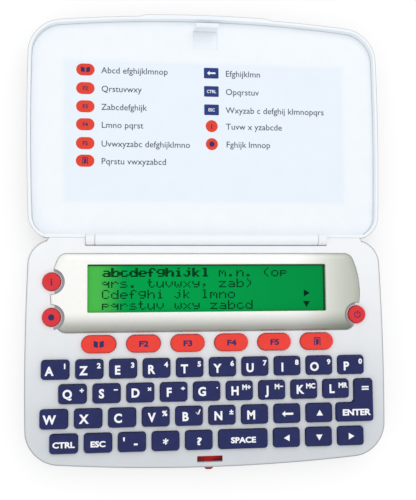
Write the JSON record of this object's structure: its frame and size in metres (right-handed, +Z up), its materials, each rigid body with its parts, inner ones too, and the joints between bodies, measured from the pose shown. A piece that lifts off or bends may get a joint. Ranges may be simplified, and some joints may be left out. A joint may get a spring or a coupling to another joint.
{
  "type": "electronic dictionary",
  "caption": "Pocket electronic dictionary lying flat open: a hinged lid on a base with a display, letter keys, function buttons and a push latch.",
  "frame": {"origin": "centre of the bounding box's bottom face, on the surface that the feet stand on", "axes": "+X to the right across the keyboard, +Y from the base over the hinge to the open lid, +Z up"},
  "size_m": [0.1328, 0.17, 0.0172],
  "materials": {
    "white_base": "satin",
    "white_lid": "satin",
    "navy_keys": "satin",
    "red_keys": "satin",
    "silver_bezel": "painted silver, semi-gloss",
    "green_display": "glossy",
    "red_latch": "semi-gloss",
    "bright_steel": "bright",
    "green_board": "solder mask",
    "grey_silicone": "matte"
  },
  "bodies": {
    "base": {"upper_case": "white_base", "lower_case": "white_base", "battery_door": "white_base", "circuit_board": "green_board", "key_mat": "grey_silicone", "coin_cell": "bright_steel", "display_bezel": "silver_bezel", "display_panel": "green_display", "latch_spring": "bright_steel", "hinge_rod": "bright_steel"},
    "lid": {"lid_cover": "white_lid", "lid_liner": "white_lid"},
    "latch": {"latch_slider": "red_latch"},
    "key_a": {"key_a": "navy_keys"},
    "key_z": {"key_z": "navy_keys"},
    "key_e": {"key_e": "navy_keys"},
    "key_r": {"key_r": "navy_keys"},
    "key_t": {"key_t": "navy_keys"},
    "key_y": {"key_y": "navy_keys"},
    "key_u": {"key_u": "navy_keys"},
    "key_i": {"key_i": "navy_keys"},
    "key_o": {"key_o": "navy_keys"},
    "key_p": {"key_p": "navy_keys"},
    "key_q": {"key_q": "navy_keys"},
    "key_s": {"key_s": "navy_keys"},
    "key_d": {"key_d": "navy_keys"},
    "key_f": {"key_f": "navy_keys"},
    "key_g": {"key_g": "navy_keys"},
    "key_h": {"key_h": "navy_keys"},
    "key_j": {"key_j": "navy_keys"},
    "key_k": {"key_k": "navy_keys"},
    "key_l": {"key_l": "navy_keys"},
    "key_w": {"key_w": "navy_keys"},
    "key_x": {"key_x": "navy_keys"},
    "key_c": {"key_c": "navy_keys"},
    "key_v": {"key_v": "navy_keys"},
    "key_b": {"key_b": "navy_keys"},
    "key_n": {"key_n": "navy_keys"},
    "key_m": {"key_m": "navy_keys"},
    "key_backspace": {"key_backspace": "navy_keys"},
    "key_up": {"key_up": "navy_keys"},
    "key_ctrl": {"key_ctrl": "navy_keys"},
    "key_escape": {"key_escape": "navy_keys"},
    "key_apostrophe": {"key_apostrophe": "navy_keys"},
    "key_star": {"key_star": "navy_keys"},
    "key_question": {"key_question": "navy_keys"},
    "key_space": {"key_space": "navy_keys"},
    "key_left": {"key_left": "navy_keys"},
    "key_down": {"key_down": "navy_keys"},
    "key_right": {"key_right": "navy_keys"},
    "key_enter": {"key_enter": "navy_keys"},
    "function_key_1": {"function_key_1": "red_keys"},
    "function_key_2": {"function_key_2": "red_keys"},
    "function_key_3": {"function_key_3": "red_keys"},
    "function_key_4": {"function_key_4": "red_keys"},
    "function_key_5": {"function_key_5": "red_keys"},
    "function_key_6": {"function_key_6": "red_keys"},
    "help_button": {"help_button": "red_keys"},
    "shift_button": {"shift_button": "red_keys"},
    "power_button": {"power_button": "red_keys"}
  },
  "joints": [
    {"name": "lid_hinge", "type": "hinge", "parent": "base", "child": "lid", "pos_m": [0, -0.0005, 0.013], "axis": [1, 0, 0], "range_deg": [0, 180]},
    {"name": "latch_push", "type": "slide", "parent": "base", "child": "latch", "axis": [0, 1, 0], "range_m": [0, 0.0007], "stiffness_N_per_m": 400, "deforming": ["latch_spring"]},
    {"name": "key_a_press", "type": "slide", "parent": "base", "child": "key_a", "axis": [0, 0, -1], "range_m": [0, 0.0008], "stiffness_N_per_m": 250},
    {"name": "key_z_press", "type": "slide", "parent": "base", "child": "key_z", "axis": [0, 0, -1], "range_m": [0, 0.0008], "stiffness_N_per_m": 250},
    {"name": "key_e_press", "type": "slide", "parent": "base", "child": "key_e", "axis": [0, 0, -1], "range_m": [0, 0.0008], "stiffness_N_per_m": 250},
    {"name": "key_r_press", "type": "slide", "parent": "base", "child": "key_r", "axis": [0, 0, -1], "range_m": [0, 0.0008], "stiffness_N_per_m": 250},
    {"name": "key_t_press", "type": "slide", "parent": "base", "child": "key_t", "axis": [0, 0, -1], "range_m": [0, 0.0008], "stiffness_N_per_m": 250},
    {"name": "key_y_press", "type": "slide", "parent": "base", "child": "key_y", "axis": [0, 0, -1], "range_m": [0, 0.0008], "stiffness_N_per_m": 250},
    {"name": "key_u_press", "type": "slide", "parent": "base", "child": "key_u", "axis": [0, 0, -1], "range_m": [0, 0.0008], "stiffness_N_per_m": 250},
    {"name": "key_i_press", "type": "slide", "parent": "base", "child": "key_i", "axis": [0, 0, -1], "range_m": [0, 0.0008], "stiffness_N_per_m": 250},
    {"name": "key_o_press", "type": "slide", "parent": "base", "child": "key_o", "axis": [0, 0, -1], "range_m": [0, 0.0008], "stiffness_N_per_m": 250},
    {"name": "key_p_press", "type": "slide", "parent": "base", "child": "key_p", "axis": [0, 0, -1], "range_m": [0, 0.0008], "stiffness_N_per_m": 250},
    {"name": "key_q_press", "type": "slide", "parent": "base", "child": "key_q", "axis": [0, 0, -1], "range_m": [0, 0.0008], "stiffness_N_per_m": 250},
    {"name": "key_s_press", "type": "slide", "parent": "base", "child": "key_s", "axis": [0, 0, -1], "range_m": [0, 0.0008], "stiffness_N_per_m": 250},
    {"name": "key_d_press", "type": "slide", "parent": "base", "child": "key_d", "axis": [0, 0, -1], "range_m": [0, 0.0008], "stiffness_N_per_m": 250},
    {"name": "key_f_press", "type": "slide", "parent": "base", "child": "key_f", "axis": [0, 0, -1], "range_m": [0, 0.0008], "stiffness_N_per_m": 250},
    {"name": "key_g_press", "type": "slide", "parent": "base", "child": "key_g", "axis": [0, 0, -1], "range_m": [0, 0.0008], "stiffness_N_per_m": 250},
    {"name": "key_h_press", "type": "slide", "parent": "base", "child": "key_h", "axis": [0, 0, -1], "range_m": [0, 0.0008], "stiffness_N_per_m": 250},
    {"name": "key_j_press", "type": "slide", "parent": "base", "child": "key_j", "axis": [0, 0, -1], "range_m": [0, 0.0008], "stiffness_N_per_m": 250},
    {"name": "key_k_press", "type": "slide", "parent": "base", "child": "key_k", "axis": [0, 0, -1], "range_m": [0, 0.0008], "stiffness_N_per_m": 250},
    {"name": "key_l_press", "type": "slide", "parent": "base", "child": "key_l", "axis": [0, 0, -1], "range_m": [0, 0.0008], "stiffness_N_per_m": 250},
    {"name": "key_w_press", "type": "slide", "parent": "base", "child": "key_w", "axis": [0, 0, -1], "range_m": [0, 0.0008], "stiffness_N_per_m": 250},
    {"name": "key_x_press", "type": "slide", "parent": "base", "child": "key_x", "axis": [0, 0, -1], "range_m": [0, 0.0008], "stiffness_N_per_m": 250},
    {"name": "key_c_press", "type": "slide", "parent": "base", "child": "key_c", "axis": [0, 0, -1], "range_m": [0, 0.0008], "stiffness_N_per_m": 250},
    {"name": "key_v_press", "type": "slide", "parent": "base", "child": "key_v", "axis": [0, 0, -1], "range_m": [0, 0.0008], "stiffness_N_per_m": 250},
    {"name": "key_b_press", "type": "slide", "parent": "base", "child": "key_b", "axis": [0, 0, -1], "range_m": [0, 0.0008], "stiffness_N_per_m": 250},
    {"name": "key_n_press", "type": "slide", "parent": "base", "child": "key_n", "axis": [0, 0, -1], "range_m": [0, 0.0008], "stiffness_N_per_m": 250},
    {"name": "key_m_press", "type": "slide", "parent": "base", "child": "key_m", "axis": [0, 0, -1], "range_m": [0, 0.0008], "stiffness_N_per_m": 250},
    {"name": "key_backspace_press", "type": "slide", "parent": "base", "child": "key_backspace", "axis": [0, 0, -1], "range_m": [0, 0.0008], "stiffness_N_per_m": 250},
    {"name": "key_up_press", "type": "slide", "parent": "base", "child": "key_up", "axis": [0, 0, -1], "range_m": [0, 0.0008], "stiffness_N_per_m": 250},
    {"name": "key_ctrl_press", "type": "slide", "parent": "base", "child": "key_ctrl", "axis": [0, 0, -1], "range_m": [0, 0.0008], "stiffness_N_per_m": 250},
    {"name": "key_escape_press", "type": "slide", "parent": "base", "child": "key_escape", "axis": [0, 0, -1], "range_m": [0, 0.0008], "stiffness_N_per_m": 250},
    {"name": "key_apostrophe_press", "type": "slide", "parent": "base", "child": "key_apostrophe", "axis": [0, 0, -1], "range_m": [0, 0.0008], "stiffness_N_per_m": 250},
    {"name": "key_star_press", "type": "slide", "parent": "base", "child": "key_star", "axis": [0, 0, -1], "range_m": [0, 0.0008], "stiffness_N_per_m": 250},
    {"name": "key_question_press", "type": "slide", "parent": "base", "child": "key_question", "axis": [0, 0, -1], "range_m": [0, 0.0008], "stiffness_N_per_m": 250},
    {"name": "key_space_press", "type": "slide", "parent": "base", "child": "key_space", "axis": [0, 0, -1], "range_m": [0, 0.0008], "stiffness_N_per_m": 250},
    {"name": "key_left_press", "type": "slide", "parent": "base", "child": "key_left", "axis": [0, 0, -1], "range_m": [0, 0.0008], "stiffness_N_per_m": 250},
    {"name": "key_down_press", "type": "slide", "parent": "base", "child": "key_down", "axis": [0, 0, -1], "range_m": [0, 0.0008], "stiffness_N_per_m": 250},
    {"name": "key_right_press", "type": "slide", "parent": "base", "child": "key_right", "axis": [0, 0, -1], "range_m": [0, 0.0008], "stiffness_N_per_m": 250},
    {"name": "key_enter_press", "type": "slide", "parent": "base", "child": "key_enter", "axis": [0, 0, -1], "range_m": [0, 0.0008], "stiffness_N_per_m": 250},
    {"name": "function_key_1_press", "type": "slide", "parent": "base", "child": "function_key_1", "axis": [0, 0, -1], "range_m": [0, 0.0008], "stiffness_N_per_m": 250},
    {"name": "function_key_2_press", "type": "slide", "parent": "base", "child": "function_key_2", "axis": [0, 0, -1], "range_m": [0, 0.0008], "stiffness_N_per_m": 250},
    {"name": "function_key_3_press", "type": "slide", "parent": "base", "child": "function_key_3", "axis": [0, 0, -1], "range_m": [0, 0.0008], "stiffness_N_per_m": 250},
    {"name": "function_key_4_press", "type": "slide", "parent": "base", "child": "function_key_4", "axis": [0, 0, -1], "range_m": [0, 0.0008], "stiffness_N_per_m": 250},
    {"name": "function_key_5_press", "type": "slide", "parent": "base", "child": "function_key_5", "axis": [0, 0, -1], "range_m": [0, 0.0008], "stiffness_N_per_m": 250},
    {"name": "function_key_6_press", "type": "slide", "parent": "base", "child": "function_key_6", "axis": [0, 0, -1], "range_m": [0, 0.0008], "stiffness_N_per_m": 250},
    {"name": "help_button_press", "type": "slide", "parent": "base", "child": "help_button", "axis": [0, 0, -1], "range_m": [0, 0.0008], "stiffness_N_per_m": 250},
    {"name": "shift_button_press", "type": "slide", "parent": "base", "child": "shift_button", "axis": [0, 0, -1], "range_m": [0, 0.0008], "stiffness_N_per_m": 250},
    {"name": "power_button_press", "type": "slide", "parent": "base", "child": "power_button", "axis": [0, 0, -1], "range_m": [0, 0.0008], "stiffness_N_per_m": 250}
  ]
}
